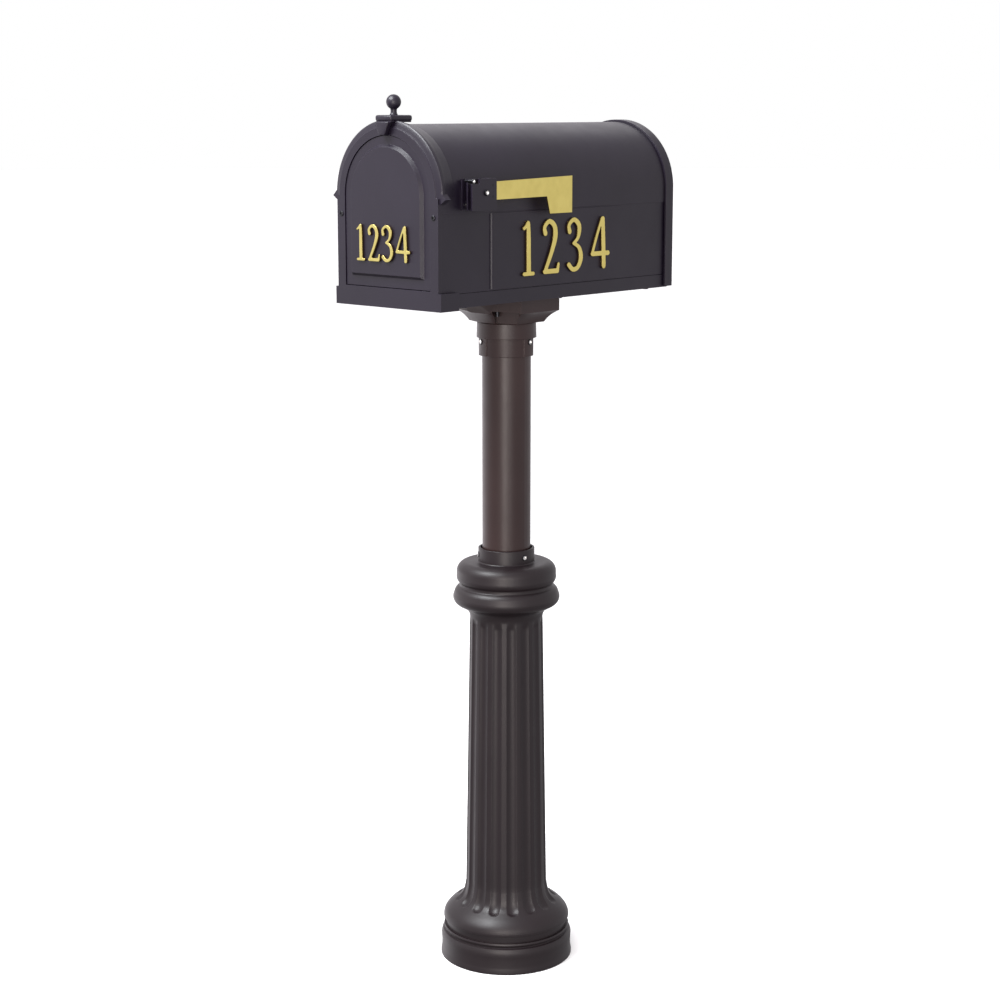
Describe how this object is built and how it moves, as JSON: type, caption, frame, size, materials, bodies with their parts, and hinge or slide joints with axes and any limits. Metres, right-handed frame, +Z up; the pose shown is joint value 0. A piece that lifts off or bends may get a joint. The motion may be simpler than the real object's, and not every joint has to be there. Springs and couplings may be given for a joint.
{
  "type": "curbside mailbox on post",
  "caption": "Curbside mailbox with arched roof, drop-down door, signal flag and applied digits, on a round pole with a fluted base column.",
  "frame": {"origin": "centre of the anchor hole circle in the underside of the base flange, on the post axis at ground level", "axes": "+Z up along the post axis, -Y towards the door, +X towards the flag side"},
  "size_m": [0.2434, 0.5458, 1.3773],
  "materials": {
    "box_coat": "satin black powder coat",
    "cast_coat": "satin black powder coat over cast metal",
    "pole_coat": "satin brown-black powder coat",
    "brass": "satin",
    "bright_steel": "plated",
    "dark_screw": "black",
    "magnet": "matte"
  },
  "bodies": {
    "body": {"base_flange": "cast_coat", "pole": "pole_coat", "pole_screws": "bright_steel", "column_cover": "cast_coat", "column_screws": "bright_steel", "top_bracket": "cast_coat", "bracket_screws": "bright_steel", "floor_pan": "box_coat", "side_panel_left": "box_coat", "side_panel_right": "box_coat", "roof_shell": "box_coat", "front_frame": "cast_coat", "frame_screws": "dark_screw", "rear_cap": "box_coat", "rear_screws": "dark_screw", "floor_screws": "bright_steel", "mailbox_bolts": "dark_screw", "door_hinge_pins": "bright_steel", "catch_bracket": "box_coat", "catch_screws": "bright_steel", "catch_magnet": "magnet", "side_digit_1": "brass", "side_digit_2": "brass", "side_digit_3": "brass", "side_digit_4": "brass", "flag_bracket": "box_coat", "flag_bracket_screws": "bright_steel", "flag_pivot_bolt": "bright_steel", "flag_washer": "bright_steel", "flag_nut": "bright_steel", "flag_stop_pin": "bright_steel"},
    "door": {"door_panel": "box_coat", "door_pull": "cast_coat", "ball_finial": "cast_coat", "pull_screws": "bright_steel", "strike_plate": "bright_steel", "door_digit_1": "brass", "door_digit_2": "brass", "door_digit_3": "brass", "door_digit_4": "brass"},
    "flag": {"flag_plate": "box_coat", "flag_blade": "brass", "flag_rivets": "dark_screw"}
  },
  "joints": [
    {"name": "door_hinge", "type": "hinge", "parent": "body", "child": "door", "pos_m": [0, -0.25, 1.107], "axis": [1, 0, 0], "range_deg": [0, 95]},
    {"name": "flag_pivot", "type": "hinge", "parent": "body", "child": "flag", "pos_m": [0.122, -0.18, 1.239], "axis": [1, 0, 0], "range_deg": [0, 90]}
  ]
}
